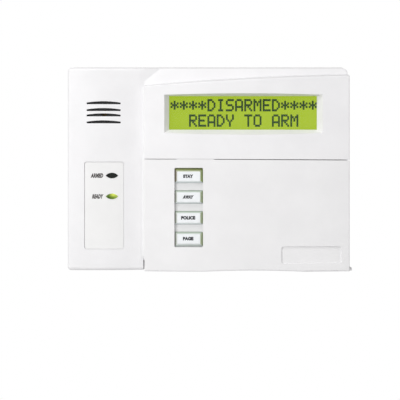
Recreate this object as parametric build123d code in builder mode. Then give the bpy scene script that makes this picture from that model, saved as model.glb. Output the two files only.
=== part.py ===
from build123d import *

import os
from math import sqrt

# Wall-mounted alarm keypad with a text display, a drop-down door and sixteen push keys. Sizes are in millimetres.
# +X is to the right and +Z up as seen from the room, and the room is towards -Y. The wall is the plane Y = 0, and
# the origin is the middle of the four wall screws on that plane. "Depth" is the distance in front of the wall, so
# a point of depth d has Y = -d.

# ---------------------------------------------------------------- driving dimensions
CASE_LEFT, CASE_RIGHT = -93.7, 91.6
CASE_BOTTOM, CASE_TOP = -66.5, 67.2
REAR_TOP = 69.2  # the rear case stands a little proud of the front case at the top
CASE_CORNER = 3.0
WALL = 2.2  # moulded wall thickness
FAR_DEPTH = 40.0  # in front of everything
SPLIT_DEPTH = 6.0  # where the rear case meets the front case
BASE_DEPTH = 16.5  # the front case beside and below the raised section
SLOPE_TOP_DEPTH, SLOPE = 16.4, 0.3  # above the raised section: depth at the top edge, and depth per mm of height
SLOPE_FOOT_Z = 53.0
SLOPE_ROUND = 0.8

# the speaker pod on the left: a shallow convex face whose right shoulder falls away into the slope
POD_LEFT_DEPTH, POD_CREST_DEPTH, POD_RIGHT_DEPTH = 21.3, 22.0, 17.4
POD_CREST_X, POD_RIGHT = -79.0, -32.0
SHOULDER_X, SHOULDER_DEPTH, SHOULDER_FALL = -45.0, 19.6, 0.26  # where it starts, and depth lost per mm
POD_ROUND = 2.2
POD_CUT_DEPTH = 15.8  # openings in the pod's face are cut from here to the front
POD_INNER_RIGHT = -46.1

# the raised section, shared by the display and the door: one convex face
RAISED_LEFT, RAISED_RIGHT = -43.0, 91.5
RAISED_MIDDLE = (RAISED_LEFT + RAISED_RIGHT) / 2
FACE_DEPTH, FACE_EDGE_DEPTH = 30.2, 27.2
FACE_DROP = FACE_DEPTH - FACE_EDGE_DEPTH
FACE_RADIUS = (((RAISED_RIGHT - RAISED_LEFT) / 2) ** 2 + FACE_DROP**2) / (2 * FACE_DROP)
TOP_ARC, TOP_ARC_DEPTH = (54.5, 59.3, 61.4), 26.5  # heights of the top edge at the left, middle and right
TOP_DRAFT = 0.2  # lean of the raised section's top wall, per mm of depth
BOTTOM_BOW_X, BOTTOM_BOW_RISE = (-4.0, 60.0), 0.8  # a shallow hollow in the lower edge
RAISED_FLOOR_DEPTH = 9.0
EDGE_ROUND = 0.9
SEAM_Z, SEAM_RIGHT_Z = 7.0, 6.42  # lower edge of the display section at its left and right ends
DOOR_TOP_LEFT_Z, DOOR_TOP_RIGHT_Z = 6.65, 5.92  # the seam widens towards the right

# display
WINDOW = (21.9, 37.15)
WINDOW_WIDTH, WINDOW_HEIGHT = 97.0, 22.1
BEZEL_FLOOR_DEPTH, BEZEL_MOUTH_DEPTH = 24.0, 34.0
BEZEL_MOUTH_X = (-33.4, 77.7)
BEZEL_MOUTH_TOP, BEZEL_MOUTH_BOTTOM = (49.5, 50.2), (20.9, 20.5)  # heights at the ends and in the middle
BEZEL_BLOCK_X, BEZEL_BLOCK_Z = (-33.0, 77.5), (20.5, 52.4)
LENS_DEPTH, LENS_THICKNESS = 21.9, 1.5
LENS_SIZE = (101.0, 26.0)
LCD_SCREW_X, LCD_SCREW_Z = 52.5, 16.0
LCD_FRAME, LCD_FRAME_WALL = (104.0, 27.6), 0.5
LCD_BACK, LCD_GLASS_BACK, LCD_GLASS_STEP, LCD_GLASS_FRONT, LCD_FRAME_FRONT = 16.0, 19.2, 20.2, 21.2, 21.7
LCD_BOARD_BACK, LCD_BOARD_HALF, LCD_BOARD_Z = 14.4, 56.0, (17.9, 56.5)
HEADER_Z, PIN_PITCH, PIN_COUNT = 54.6, 2.54, 16

# keys
FUNCTION_NAMES = ("stay", "away", "police", "page")
NUMBER_NAMES = ("1", "2", "3", "4", "5", "6", "7", "8", "9", "star", "0", "hash")
ROW_TOP_Z, ROW_PITCH = -4.5, 13.53
ROWS = [ROW_TOP_Z - ROW_PITCH * row for row in range(4)]
FUNCTION_X = -13.6
FUNCTION_WIDTH, FUNCTION_FACE = 18.2, (15.0, 6.3)
FUNCTION_REACH = ((5.1, 4.2), (4.2, 4.2), (4.2, 4.2), (4.2, 5.1))  # key body above and below the middle of its face
NUMBER_X = (14.0, 40.0, 66.0)
NUMBER_BODY, NUMBER_FACE = (17.4, 8.2), (15.4, 6.6)
KEY_GAP, KEY_CORNER = 0.2, 0.8
KEY_REST_DEPTH, KEY_FLANGE_LOW, KEY_FLANGE_TOP, KEY_FLANGE = 14.3, 15.8, 17.2, 0.7
FUNCTION_DEPTHS, NUMBER_DEPTHS = (26.2, 28.9), (20.6, 23.2)  # shoulder and top of each kind of key
DECK_DEPTH, ISLAND_DEPTH = 19.5, 26.0
DECK_LEFT, DECK_RIGHT, DECK_BOTTOM = -43.5, 89.5, -57.0
ISLAND_SIZE = (22.0, 54.6)
ISLAND_Z = (ROWS[0] + ROWS[3]) / 2

# door
DOOR_WALL, DOOR_SKIRT, DOOR_LEFT_SKIRT = 2.0, 1.6, 1.9
DOOR_BACK_DEPTH, DOOR_LEFT_BACK_DEPTH = 17.4, 20.0
DOOR_SLOT, DOOR_SLOT_CENTRE = (18.6, 51.7), (FUNCTION_X, -24.75)
TAB_X, TAB_GAP, TAB_BACK_DEPTH, TAB_INSET = (-21.5, 3.0), 0.1, 24.0, 0.15
BADGE_CENTRE, BADGE_SIZE, BADGE_DEPTH = (66.35, -55.55), (39.3, 11.1), 0.9
DOOR_LABEL_X, DOOR_LABEL_Z, DOOR_LABEL_THICKNESS = (2.0, 84.0), (-47.0, -3.0), 0.25
HINGE_DEPTH, HINGE_Z = 22.5, -65.6
PIN_RADIUS, PIN_CLEARANCE = 0.5, 0.05
EAR_RADIUS = 0.9
EAR_LEFT, EAR_RIGHT = (-40.3, -38.9), (91.9, 93.5)
EAR_CLEARANCE = 0.4
HINGE_BAY_Z, HINGE_BAY_DEPTH = -59.0, 13.3
NOTCH_LEFT, NOTCH_RIGHT = -43.9, -42.45  # the gap beside the door's lower left corner

# status label, lenses and sound slots on the pod
SPEAKER = (-69.85, 37.3)
SLOT_HEIGHTS = (43.0, 38.5, 35.0, 30.4)  # the flat lower edge of each sound slot
SLOT_HALF_WIDTH, SLOT_END_HEIGHT, SLOT_MIDDLE_HEIGHT = 11.2, 1.15, 2.0
LED_X, LED_HEIGHTS = -64.4, (-4.0, -17.75)
LENS_OVAL, LENS_GAP = (8.1, 3.5), 0.1
LABEL_CENTRE, LABEL_RECESS, LABEL_SIZE = (-69.5, -23.7), (26.2, 57.6), (25.2, 57.2)
LABEL_FLOOR_INSET, LABEL_FACE_INSET = 0.8, 0.35

# electronics
BOARD_DEPTH, BOARD_THICKNESS = 11.0, 1.6
BOARD_FRONT = BOARD_DEPTH + BOARD_THICKNESS
BOARD_X, BOARD_Z = (-86.0, 84.5), (-54.0, 57.5)
BOARD_SCREWS = {(-82.0, 54.0): 20.2, (81.3, 54.0): 26.8, (-82.0, -50.0): 20.2, (81.3, -50.0): 18.5}  # post tops
TERMINAL_PITCH, TERMINAL_DEPTH, TERMINAL_SCREW_Z = 6.0, 5.2, 1.2
CHIP_CENTRE, CHIP_SIDE, CHIP_LEADS = (-60.0, -20.0), 14.0, 11

# fixings
GANG_SPACING = 83.3  # the screws of a single wall box
WALL_SCREW_X, WALL_SCREW_Z = 75.0, 48.0
WALL_SCREW_HOLE = 2.25
HOOK_X = (-60.0, 50.0)
CATCH_DEPTHS, HOOK_DEPTH, TONGUE_DEPTH = (7.2, 8.3), 9.2, 7.0

lcd_screw_points = [
    (WINDOW[0] + side_x * LCD_SCREW_X, WINDOW[1] + side_z * LCD_SCREW_Z) for side_x in (-1, 1) for side_z in (-1, 1)
]
header_pins = [(WINDOW[0] + (n - (PIN_COUNT - 1) / 2) * PIN_PITCH, HEADER_Z) for n in range(PIN_COUNT)]
number_points = [(x, z) for z in ROWS for x in NUMBER_X]
function_points = [(FUNCTION_X, z + (up - down) / 2) for z, (up, down) in zip(ROWS, FUNCTION_REACH)]
function_bodies = [(FUNCTION_WIDTH, up + down) for up, down in FUNCTION_REACH]
terminal_points = [((n - 1.5) * TERMINAL_PITCH, TERMINAL_SCREW_Z) for n in range(4)]
wall_screw_points = [(x, z) for x in (-WALL_SCREW_X, WALL_SCREW_X) for z in (-WALL_SCREW_Z, WALL_SCREW_Z)]
gang_screw_points = [(0, -GANG_SPACING / 2), (0, GANG_SPACING / 2)]


# ---------------------------------------------------------------- steps that the pieces share
def level(depth):
    """A sketch plane parallel to the wall: its X is +X, its Y is +Z and its normal points to the room."""
    return Plane.XZ.offset(depth)


def face_depth(x, inset=0.0):
    """Depth of the raised section's convex face at x."""
    return FACE_DEPTH - inset - FACE_RADIUS + sqrt(FACE_RADIUS**2 - (x - RAISED_MIDDLE) ** 2)


def seam_z(x):
    """Height of the display section's lower edge at x."""
    return SEAM_Z + (SEAM_RIGHT_Z - SEAM_Z) * (x - RAISED_LEFT) / (RAISED_RIGHT - RAISED_LEFT)


def box(x, z, depths, mode=Mode.ADD):
    """A plain box from x[0] to x[1], z[0] to z[1] and between two depths."""
    with BuildSketch(level(depths[0])) as outline:
        with Locations(((x[0] + x[1]) / 2, (z[0] + z[1]) / 2)):
            Rectangle(x[1] - x[0], z[1] - z[0])
    extrude(outline.sketch, amount=depths[1] - depths[0], mode=mode)


def plate(centre, size, depths, corner=0.0, mode=Mode.ADD):
    """A flat piece parallel to the wall, with rounded corners if a radius is given."""
    with BuildSketch(level(depths[0])) as outline:
        with Locations(centre):
            if corner:
                RectangleRounded(*size, corner)
            else:
                Rectangle(*size)
    extrude(outline.sketch, amount=depths[1] - depths[0], mode=mode)


def posts(centres, radius, depths, mode=Mode.ADD):
    """Round posts or holes that stand square to the wall."""
    with BuildSketch(level(depths[0])) as outline:
        with Locations(*centres):
            Circle(radius)
    extrude(outline.sketch, amount=depths[1] - depths[0], mode=mode)


def crosses(centres, size, depths):
    """Cross-shaped driver recesses in screw heads."""
    with BuildSketch(level(depths[0])) as outline:
        with Locations(*centres):
            Rectangle(*size)
            Rectangle(*size[::-1])
    extrude(outline.sketch, amount=depths[1] - depths[0], mode=Mode.SUBTRACT)


def ovals(centres, size, depths, mode=Mode.ADD):
    """Pointed ovals made of two arcs, as the status lenses have."""
    half, rise = size[0] / 2, size[1] / 2
    with BuildSketch(level(depths[0])) as outline:
        for x, z in centres:
            with BuildLine():
                ThreePointArc((x - half, z), (x, z + rise), (x + half, z))
                ThreePointArc((x + half, z), (x, z - rise), (x - half, z))
            make_face()
    extrude(outline.sketch, amount=depths[1] - depths[0], mode=mode)


def side_profile(x, points, mode=Mode.ADD):
    """A prism along X between x[0] and x[1]; its points are (depth, z)."""
    with BuildSketch(Plane.YZ.offset(x[0])) as outline:
        with BuildLine():
            Polyline(*[(-depth, z) for depth, z in points], close=True)
        make_face()
    extrude(outline.sketch, amount=x[1] - x[0], mode=mode)


def outline_cut(points, back_depth):
    """Keeps only what lies within an outline drawn on the front, from back_depth forward; its points are (x, z)."""
    with BuildSketch(level(back_depth)) as outline:
        with BuildLine():
            Polyline(*points, close=True)
        make_face()
    extrude(outline.sketch, amount=FAR_DEPTH, mode=Mode.INTERSECT)


def hinge_cylinder(x, radius, mode=Mode.ADD):
    """A cylinder on the door's hinge axis between two values of x."""
    with BuildSketch(Plane.YZ.offset(x[0])) as outline:
        with Locations((-HINGE_DEPTH, HINGE_Z)):
            Circle(radius)
    extrude(outline.sketch, amount=x[1] - x[0], mode=mode)


# ---------------------------------------------------------------- envelopes
def pod_solid(inset, finished=False):
    """The speaker pod's shape, moved in by inset: its plan outline drawn up the height of the case."""
    left, bottom, top = CASE_LEFT + inset, CASE_BOTTOM + inset, CASE_TOP - inset
    start, end = (left, inset - POD_LEFT_DEPTH), (POD_RIGHT, inset - POD_RIGHT_DEPTH)
    with BuildPart() as pod:
        with BuildSketch(Plane.XY.offset(bottom)):
            with BuildLine():
                ThreePointArc(start, (POD_CREST_X, inset - POD_CREST_DEPTH), end)
                Polyline(end, (POD_RIGHT, -SPLIT_DEPTH), (left, -SPLIT_DEPTH), start)
            make_face()
        extrude(amount=top - bottom)
        if finished:
            front = pod.faces().sort_by(Axis.Y)[0]
            rim = front.edges().filter_by(lambda edge: edge.center().X < POD_RIGHT - 1)
            corners = pod.faces().sort_by(Axis.X)[0].edges().filter_by(Axis.Y)
            fillet(rim + corners, radius=POD_ROUND)
            # the shoulder: everything in front of its plane is cut away
            beyond = 5.0
            near = (SHOULDER_X - beyond, -SHOULDER_DEPTH - SHOULDER_FALL * beyond)
            far = (POD_RIGHT + beyond, -SHOULDER_DEPTH + SHOULDER_FALL * (POD_RIGHT + beyond - SHOULDER_X))
            front_y = -POD_CREST_DEPTH - beyond
            with BuildSketch(Plane.XY.offset(CASE_BOTTOM - 1)):
                with BuildLine():
                    Polyline(near, far, (far[0], front_y), (near[0], front_y), close=True)
                make_face()
            extrude(amount=CASE_TOP - CASE_BOTTOM + 2, mode=Mode.SUBTRACT)
    return pod.part


def raised_solid(inset, finished=False):
    """The raised section's shape, moved in by inset: a leaning outline cut to the convex face."""
    left, right, bottom = RAISED_LEFT + inset, RAISED_RIGHT - inset, CASE_BOTTOM + inset
    bow_left, bow_right = BOTTOM_BOW_X
    beyond = 10.0
    far_left, far_right = RAISED_LEFT - beyond, RAISED_RIGHT + beyond
    with BuildPart() as body:
        for depth in (RAISED_FLOOR_DEPTH, BEZEL_MOUTH_DEPTH):
            lean = TOP_DRAFT * (depth - TOP_ARC_DEPTH) + inset
            left_z, middle_z, right_z = [z - lean for z in TOP_ARC]
            with BuildSketch(level(depth)):
                with BuildLine():
                    Line((left, bottom), (bow_left, bottom))
                    ThreePointArc(
                        (bow_left, bottom),
                        ((bow_left + bow_right) / 2, bottom + BOTTOM_BOW_RISE),
                        (bow_right, bottom),
                    )
                    Polyline((bow_right, bottom), (right, bottom), (right, right_z))
                    ThreePointArc((right, right_z), (RAISED_MIDDLE, middle_z), (left, left_z))
                    Line((left, left_z), (left, bottom))
                make_face()
        loft(ruled=True)
        with BuildSketch(Plane.XY.offset(CASE_BOTTOM - beyond)):
            with BuildLine():
                Polyline(
                    (far_left, -face_depth(far_left, inset)),
                    (far_left, 0),
                    (far_right, 0),
                    (far_right, -face_depth(far_right, inset)),
                )
                ThreePointArc(
                    (far_left, -face_depth(far_left, inset)),
                    (RAISED_MIDDLE, inset - FACE_DEPTH),
                    (far_right, -face_depth(far_right, inset)),
                )
            make_face()
        extrude(amount=CASE_TOP - CASE_BOTTOM + 2 * beyond, mode=Mode.INTERSECT)
        if finished:
            front = body.faces().sort_by(Axis.Y)[0]
            fillet(front.edges(), radius=EDGE_ROUND)
    return body.part


def slope_depth(z, inset=0.0):
    """Depth of the sloping surface above the raised section, moved in square to itself by inset."""
    return SLOPE_TOP_DEPTH + SLOPE * (CASE_TOP - z) - inset * sqrt(1 + SLOPE**2)


pod_outer = pod_solid(0.0, finished=True)
pod_inner = pod_solid(WALL)
label_floor = pod_solid(LABEL_FLOOR_INSET)
label_face = pod_solid(LABEL_FACE_INSET)
raised_outer = raised_solid(0.0, finished=True)
raised_inner = raised_solid(WALL)
tab_envelope = raised_solid(TAB_INSET)
badge_floor = raised_solid(BADGE_DEPTH)
door_inner = raised_solid(DOOR_WALL)
door_label_face = raised_solid(DOOR_WALL + DOOR_LABEL_THICKNESS)
os.makedirs("parts", exist_ok=True)
everything_x, everything_z = (CASE_LEFT - 10, CASE_RIGHT + 10), (CASE_BOTTOM - 10, REAR_TOP + 10)

# ---------------------------------------------------------------- working solids: what is cut out or joined on
with BuildPart() as base:
    plate(
        ((RAISED_LEFT + CASE_RIGHT) / 2, (CASE_BOTTOM + CASE_TOP) / 2),
        (CASE_RIGHT - RAISED_LEFT, CASE_TOP - CASE_BOTTOM),
        (SPLIT_DEPTH, slope_depth(SLOPE_FOOT_Z)),
    )
    fillet(base.faces().sort_by(Axis.X)[-1].edges().filter_by(Axis.Y), radius=CASE_CORNER)
    box(everything_x, (CASE_BOTTOM - 10, SLOPE_FOOT_Z), (BASE_DEPTH, FAR_DEPTH), Mode.SUBTRACT)
    side_profile(
        everything_x,
        ((SLOPE_TOP_DEPTH, CASE_TOP), (slope_depth(SLOPE_FOOT_Z), SLOPE_FOOT_Z), (FAR_DEPTH, CASE_TOP - 10),
         (FAR_DEPTH, CASE_TOP + 10), (SLOPE_TOP_DEPTH, CASE_TOP + 10)),
        Mode.SUBTRACT,
    )
    slope_face = base.faces().filter_by(lambda face: face.normal_at().Z > 0.2 and face.normal_at().Y < -0.3)[0]
    fillet(slope_face.edges().filter_by(lambda edge: edge.center().Z > CASE_TOP - 0.1), radius=SLOPE_ROUND)

with BuildPart() as pod_room:
    add(pod_inner)
    box((CASE_LEFT, POD_INNER_RIGHT), everything_z, (0, FAR_DEPTH), Mode.INTERSECT)

with BuildPart() as display_section:
    add(raised_outer)
    far_left, far_right = RAISED_LEFT - 1, RAISED_RIGHT + 1
    section_top = (far_right, CASE_TOP), (far_left, CASE_TOP)
    outline_cut(((far_left, SEAM_Z), (far_right, SEAM_RIGHT_Z), *section_top), SPLIT_DEPTH)

with BuildPart() as display_room:
    add(raised_inner)
    box(everything_x, (SEAM_Z + WALL, CASE_TOP), (0, FAR_DEPTH), Mode.INTERSECT)
    box(BEZEL_BLOCK_X, BEZEL_BLOCK_Z, (LENS_DEPTH, FAR_DEPTH), Mode.SUBTRACT)

with BuildPart() as bezel_funnel:
    # the sloping walls around the display: straight at the window, bowed at the face
    half_width, half_height, floor_bow = WINDOW_WIDTH / 2, WINDOW_HEIGHT / 2, 0.05
    window_x = (WINDOW[0] - half_width, WINDOW[0] + half_width)
    window_top = (WINDOW[1] + half_height, WINDOW[1] + half_height + floor_bow)
    window_bottom = (WINDOW[1] - half_height, WINDOW[1] - half_height - floor_bow)
    for depth, x, top, bottom in (
        (BEZEL_FLOOR_DEPTH, window_x, window_top, window_bottom),
        (BEZEL_MOUTH_DEPTH, BEZEL_MOUTH_X, BEZEL_MOUTH_TOP, BEZEL_MOUTH_BOTTOM),
    ):
        with BuildSketch(level(depth)):
            with BuildLine():
                ThreePointArc((x[0], bottom[0]), (WINDOW[0], bottom[1]), (x[1], bottom[0]))
                Line((x[1], bottom[0]), (x[1], top[0]))
                ThreePointArc((x[1], top[0]), (WINDOW[0], top[1]), (x[0], top[0]))
                Line((x[0], top[0]), (x[0], bottom[0]))
            make_face()
    loft(ruled=True)

with BuildPart() as sound_slots:
    # flat below and arched above
    for z in SLOT_HEIGHTS:
        with BuildSketch(level(POD_CUT_DEPTH)) as outline:
            left, right = SPEAKER[0] - SLOT_HALF_WIDTH, SPEAKER[0] + SLOT_HALF_WIDTH
            with BuildLine():
                Polyline((left, z + SLOT_END_HEIGHT), (left, z), (right, z), (right, z + SLOT_END_HEIGHT))
                ThreePointArc(
                    (right, z + SLOT_END_HEIGHT), (SPEAKER[0], z + SLOT_MIDDLE_HEIGHT), (left, z + SLOT_END_HEIGHT)
                )
            make_face()
            fillet(outline.vertices(), radius=0.4)
        extrude(amount=10.0)

with BuildPart() as label_recess:
    plate(LABEL_CENTRE, LABEL_RECESS, (POD_CUT_DEPTH, FAR_DEPTH), 1.6)
    add(label_floor, mode=Mode.SUBTRACT)

with BuildPart() as badge_recess:
    plate(BADGE_CENTRE, BADGE_SIZE, (DECK_DEPTH, FAR_DEPTH), 1.5)
    add(badge_floor, mode=Mode.SUBTRACT)

with BuildPart() as door_room:
    add(door_inner)
    box(
        (RAISED_LEFT + DOOR_LEFT_SKIRT, RAISED_RIGHT - DOOR_SKIRT),
        (CASE_BOTTOM + DOOR_SKIRT, DOOR_TOP_RIGHT_Z - DOOR_SKIRT),
        (0, FAR_DEPTH),
        Mode.INTERSECT,
    )

with BuildPart() as finger_tab:
    add(tab_envelope)
    tab_tops = [(x, seam_z(x) - TAB_GAP) for x in TAB_X]
    tab_low = DOOR_TOP_RIGHT_Z - 1
    outline_cut(((TAB_X[0], tab_low), (TAB_X[1], tab_low), tab_tops[1], tab_tops[0]), TAB_BACK_DEPTH)

# ---------------------------------------------------------------- casings
with BuildPart() as front_case:
    add(base.part)
    add(pod_outer)
    box((DECK_LEFT, POD_RIGHT + 1), (CASE_BOTTOM - 5, SEAM_Z), (BASE_DEPTH, FAR_DEPTH), Mode.SUBTRACT)
    add(display_section.part)
    # the step that the door's lower edge swings into, and the raised deck around the keys
    box((NOTCH_LEFT, RAISED_RIGHT + 5), (CASE_BOTTOM - 5, HINGE_BAY_Z), (HINGE_BAY_DEPTH, FAR_DEPTH), Mode.SUBTRACT)
    box((DECK_LEFT - 1, DECK_RIGHT), (DECK_BOTTOM, SEAM_Z + 3), (HINGE_BAY_DEPTH, DECK_DEPTH))
    plate((FUNCTION_X, ISLAND_Z), ISLAND_SIZE, (DECK_DEPTH - 1, ISLAND_DEPTH), 1.0)
    # hollow
    add(pod_room.part, mode=Mode.SUBTRACT)
    inside_x = (CASE_LEFT + WALL, CASE_RIGHT - WALL)
    inside_top = CASE_TOP - WALL
    box(inside_x, (CASE_BOTTOM + WALL, SLOPE_FOOT_Z), (0, HINGE_BAY_DEPTH - WALL), Mode.SUBTRACT)
    box(inside_x, (DECK_BOTTOM + WALL, SLOPE_FOOT_Z), (0, BASE_DEPTH - WALL), Mode.SUBTRACT)
    top_room_x = (POD_INNER_RIGHT - 1, CASE_RIGHT - WALL)
    box(top_room_x, (SLOPE_FOOT_Z - 1, inside_top), (0, slope_depth(CASE_TOP, WALL)), Mode.SUBTRACT)
    room_x = (RAISED_LEFT + WALL, RAISED_RIGHT - WALL - 0.4)
    side_profile(
        room_x,
        ((0, SLOPE_FOOT_Z - 1), (slope_depth(SLOPE_FOOT_Z - 1, WALL), SLOPE_FOOT_Z - 1),
         (slope_depth(inside_top, WALL), inside_top), (0, inside_top)),
        Mode.SUBTRACT,
    )
    box((DECK_LEFT + WALL, DECK_RIGHT - WALL), (DECK_BOTTOM + WALL, SEAM_Z + 4), (0, KEY_FLANGE_TOP), Mode.SUBTRACT)
    add(display_room.part, mode=Mode.SUBTRACT)
    box(room_x, (SEAM_Z + WALL, SLOPE_FOOT_Z), (0, BASE_DEPTH + 1), Mode.SUBTRACT)
    # display opening
    pocket = [side + 0.4 for side in LENS_SIZE]
    plate(WINDOW, pocket, (0, LENS_DEPTH + LENS_THICKNESS), mode=Mode.SUBTRACT)
    plate(WINDOW, (WINDOW_WIDTH, WINDOW_HEIGHT), (0, BEZEL_FLOOR_DEPTH + 0.2), mode=Mode.SUBTRACT)
    add(bezel_funnel.part, mode=Mode.SUBTRACT)
    # screw posts for the display and the main board
    posts(lcd_screw_points, 2.0, (LCD_BACK, BEZEL_FLOOR_DEPTH))
    posts(lcd_screw_points, 1.0, (LCD_BACK - 1, BEZEL_FLOOR_DEPTH - 2), Mode.SUBTRACT)
    for centre, top in BOARD_SCREWS.items():
        posts([centre], 3.0, (BOARD_FRONT, top))
        posts([centre], 1.25, (BOARD_FRONT - 1, top - 1.5), Mode.SUBTRACT)
    # key openings
    number_opening = [side + 2 * KEY_GAP for side in NUMBER_BODY]
    for centre in number_points:
        plate(centre, number_opening, (0, DECK_DEPTH + 1), KEY_CORNER + KEY_GAP / 2, Mode.SUBTRACT)
    for centre, size in zip(function_points, function_bodies):
        opening = [side + 2 * KEY_GAP for side in size]
        plate(centre, opening, (0, ISLAND_DEPTH + 1), KEY_CORNER + KEY_GAP / 2, Mode.SUBTRACT)
    # pod: sound slots, label recess and lens openings
    add(sound_slots.part, mode=Mode.SUBTRACT)
    add(label_recess.part, mode=Mode.SUBTRACT)
    lens_opening = [side + 2 * LENS_GAP for side in LENS_OVAL]
    ovals([(LED_X, z) for z in LED_HEIGHTS], lens_opening, (POD_CUT_DEPTH, FAR_DEPTH), Mode.SUBTRACT)
    # catches that the rear case's hooks snap over
    for x in HOOK_X:
        box((x - 6, x + 6), (inside_top - 1.1, inside_top + 0.5), CATCH_DEPTHS)
        box((x - 6, x + 6), (CASE_BOTTOM + WALL - 0.5, CASE_BOTTOM + WALL + 1.1), CATCH_DEPTHS)
    # hinge ears: one inside the door's left skirt on an arm from the deck, one outside its right skirt
    side_profile(
        EAR_LEFT,
        ((DECK_DEPTH - 1, DECK_BOTTOM + 2), (HINGE_DEPTH + EAR_RADIUS, DECK_BOTTOM),
         (HINGE_DEPTH + EAR_RADIUS, HINGE_Z), (HINGE_DEPTH - EAR_RADIUS, HINGE_Z), (DECK_DEPTH - 1, DECK_BOTTOM)),
    )
    box(EAR_RIGHT, (HINGE_Z - EAR_RADIUS, HINGE_Z + EAR_RADIUS), (HINGE_BAY_DEPTH - 4, HINGE_DEPTH))
    box((CASE_RIGHT - 1, EAR_RIGHT[1]), (HINGE_Z - EAR_RADIUS, HINGE_Z + EAR_RADIUS), (9.3, 12.8))
    for ear in (EAR_LEFT, EAR_RIGHT):
        hinge_cylinder(ear, EAR_RADIUS)
        hinge_cylinder(ear, PIN_RADIUS + PIN_CLEARANCE, Mode.SUBTRACT)
front_case.part.label = "front_case"
export_step(front_case.part, "parts/front_case.step")

with BuildPart() as rear_case:
    middle_x = (CASE_LEFT + CASE_RIGHT) / 2
    middle_z = (CASE_BOTTOM + REAR_TOP) / 2
    width, height = CASE_RIGHT - CASE_LEFT, REAR_TOP - CASE_BOTTOM
    plate((middle_x, middle_z), (width, height), (0, SPLIT_DEPTH), CASE_CORNER)
    plate((middle_x, middle_z), (width - 2 * WALL, height - 2 * WALL), (WALL, 20), 1.0, Mode.SUBTRACT)
    back = rear_case.faces().sort_by(Axis.Y)[-1]
    fillet(back.outer_wire().edges(), radius=0.8)
    # tongue inside the front case
    tongue_z = (CASE_BOTTOM + CASE_TOP) / 2
    tongue = (width - 2 * (WALL + 0.2), CASE_TOP - CASE_BOTTOM - 2 * (WALL + 0.2))
    with BuildSketch(level(1.0)) as ring:
        with Locations((middle_x, tongue_z)):
            RectangleRounded(*tongue, 1.0)
            Rectangle(tongue[0] - 2.8, tongue[1] - 2.8, mode=Mode.SUBTRACT)
    extrude(ring.sketch, amount=TONGUE_DEPTH - 1.0)
    # wire opening, wall screw holes and screw seats
    plate((0, 0), (50.0, 30.0), (-1, 5), 4.0, Mode.SUBTRACT)
    posts(wall_screw_points + gang_screw_points, 6.0, (1.0, 3.4))
    posts(wall_screw_points + gang_screw_points, WALL_SCREW_HOLE, (-1, 5), Mode.SUBTRACT)
    # ribs and stops behind the main board
    for x in (-40.0, 40.0):
        box((x - 0.8, x + 0.8), (-55.0, 55.0), (1.0, 5.0))
        posts([(x, -30.0), (x, 30.0)], 2.5, (1.0, BOARD_DEPTH - 0.2))
    # snap hooks at the top and bottom: a stem and a nose behind each catch
    nose_start = CATCH_DEPTHS[1] + 0.15
    for x in HOOK_X:
        for wall_z, inward in ((CASE_TOP - WALL, -1), (CASE_BOTTOM + WALL, 1)):
            stem = sorted((wall_z + 1.9 * inward, wall_z + 3.4 * inward))
            nose = sorted((wall_z + 0.6 * inward, wall_z + 2.4 * inward))
            box((x - 4, x + 4), stem, (1.0, HOOK_DEPTH))
            box((x - 4, x + 4), nose, (nose_start, HOOK_DEPTH))
rear_case.part.label = "rear_case"
export_step(rear_case.part, "parts/rear_case.step")

with BuildPart() as door:
    add(raised_outer)
    side_bottom = CASE_BOTTOM - 5
    door_bottom = (far_left, side_bottom), (far_right, side_bottom)
    outline_cut((*door_bottom, (far_right, DOOR_TOP_RIGHT_Z), (far_left, DOOR_TOP_LEFT_Z)), DOOR_BACK_DEPTH)
    add(finger_tab.part)
    add(door_room.part, mode=Mode.SUBTRACT)
    # the hollow is open at the back, and the left skirt stops in front of the pod's face
    open_x = (RAISED_LEFT + DOOR_LEFT_SKIRT, RAISED_RIGHT - DOOR_SKIRT)
    box(open_x, (DECK_BOTTOM - 3, DOOR_TOP_LEFT_Z + 1), (0, 22.0), Mode.SUBTRACT)
    left_end = (RAISED_LEFT - 1, RAISED_LEFT + DOOR_LEFT_SKIRT + 0.1)
    box(left_end, (side_bottom, DOOR_TOP_LEFT_Z + 1), (0, DOOR_LEFT_BACK_DEPTH), Mode.SUBTRACT)
    # room to slide the door off its pins, at the lower left, and clearance around the left ear
    box((RAISED_LEFT - 1, NOTCH_RIGHT), (side_bottom, HINGE_BAY_Z), (0, FAR_DEPTH), Mode.SUBTRACT)
    ear_x = (EAR_LEFT[0] - 0.3, EAR_LEFT[1] + 0.3)
    ear_front = HINGE_DEPTH + EAR_RADIUS + EAR_CLEARANCE
    box(ear_x, (side_bottom, HINGE_Z + EAR_RADIUS + EAR_CLEARANCE), (0, ear_front), Mode.SUBTRACT)
    # slot over the function keys and the blank badge recess
    plate(DOOR_SLOT_CENTRE, DOOR_SLOT, (DECK_DEPTH, FAR_DEPTH), KEY_CORNER, Mode.SUBTRACT)
    add(badge_recess.part, mode=Mode.SUBTRACT)
    # hinge pins, both pointing right
    hinge_cylinder((RAISED_LEFT + DOOR_LEFT_SKIRT - 0.3, EAR_LEFT[1] - 0.2), PIN_RADIUS)
    hinge_cylinder((RAISED_RIGHT - DOOR_SKIRT, EAR_RIGHT[1] - 0.3), PIN_RADIUS)
door.part.label = "door"
export_step(door.part, "parts/door.step")

with BuildPart() as door_label:
    add(door_inner)
    box(DOOR_LABEL_X, DOOR_LABEL_Z, (DECK_DEPTH, FAR_DEPTH), Mode.INTERSECT)
    add(door_label_face, mode=Mode.SUBTRACT)
door_label.part.label = "door_label"
export_step(door_label.part, "parts/door_label.step")

# ---------------------------------------------------------------- display module
with BuildPart() as display_window:
    plate(WINDOW, LENS_SIZE, (LENS_DEPTH, LENS_DEPTH + LENS_THICKNESS), 0.8)
display_window.part.label = "display_window"
export_step(display_window.part, "parts/display_window.step")

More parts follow.
